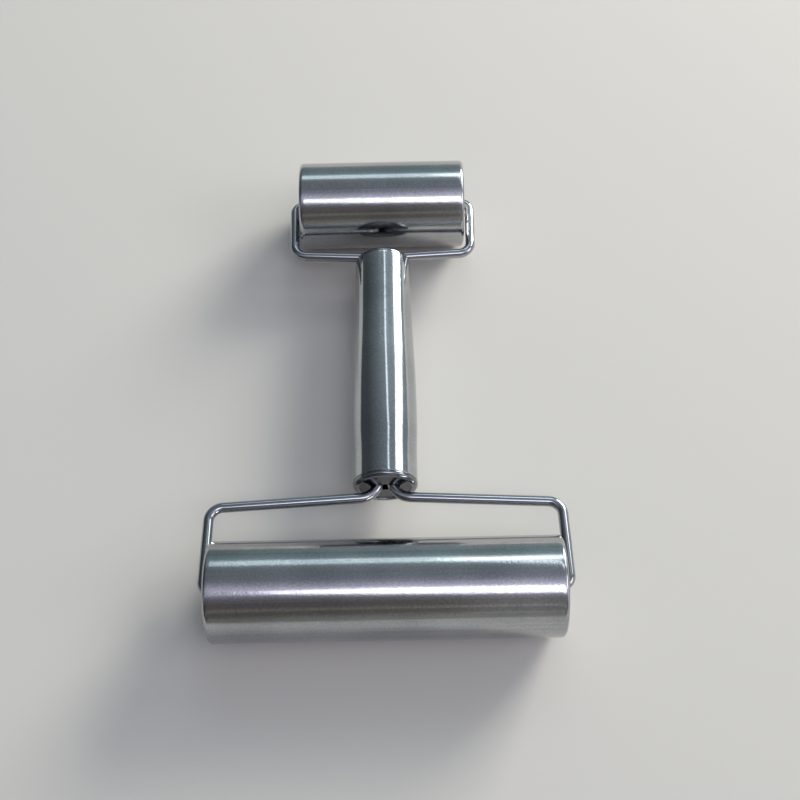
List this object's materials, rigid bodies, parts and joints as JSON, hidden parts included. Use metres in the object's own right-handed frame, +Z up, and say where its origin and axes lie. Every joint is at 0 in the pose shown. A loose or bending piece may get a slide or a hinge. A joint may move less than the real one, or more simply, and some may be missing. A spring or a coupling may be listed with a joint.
{
  "type": "double dough roller",
  "caption": "Hand pastry tool: hollow steel handle with a bent wire fork at each end, carrying a long and a short free-spinning steel roller for rolling out dough.",
  "frame": {"origin": "midway between the two roller axles, on the plane that both rollers rest on", "axes": "+X along the roller axles, +Y from the large roller to the small one along the handle, +Z up from the table"},
  "size_m": [0.1122, 0.1732, 0.03],
  "materials": {
    "roller_steel": "fine brushed satin stainless steel",
    "handle_steel": "polished stainless steel",
    "wire_steel": "bright polished stainless steel wire",
    "pressed_steel": "plain pressed stainless sheet",
    "bush_nylon": "natural white nylon"
  },
  "bodies": {
    "handle": {"handle_tube": "handle_steel", "handle_large_end_cap": "handle_steel", "handle_small_end_cap": "handle_steel", "large_fork_left_wire": "wire_steel", "large_fork_right_wire": "wire_steel", "small_fork_left_wire": "wire_steel", "small_fork_right_wire": "wire_steel", "large_fork_ferrule": "pressed_steel", "small_fork_ferrule": "pressed_steel"},
    "large_roller": {"large_roller_shell": "roller_steel", "large_roller_left_cap": "pressed_steel", "large_roller_right_cap": "pressed_steel", "large_roller_left_bush": "bush_nylon", "large_roller_right_bush": "bush_nylon"},
    "small_roller": {"small_roller_shell": "roller_steel", "small_roller_left_cap": "pressed_steel", "small_roller_right_cap": "pressed_steel", "small_roller_left_bush": "bush_nylon", "small_roller_right_bush": "bush_nylon"}
  },
  "joints": [
    {"name": "large_roller_spin", "type": "hinge", "parent": "handle", "child": "large_roller", "pos_m": [0, -0.07162, 0.015], "axis": [1, 0, 0], "continuous": true},
    {"name": "small_roller_spin", "type": "hinge", "parent": "handle", "child": "small_roller", "pos_m": [0, 0.07162, 0.015], "axis": [1, 0, 0], "continuous": true}
  ]
}
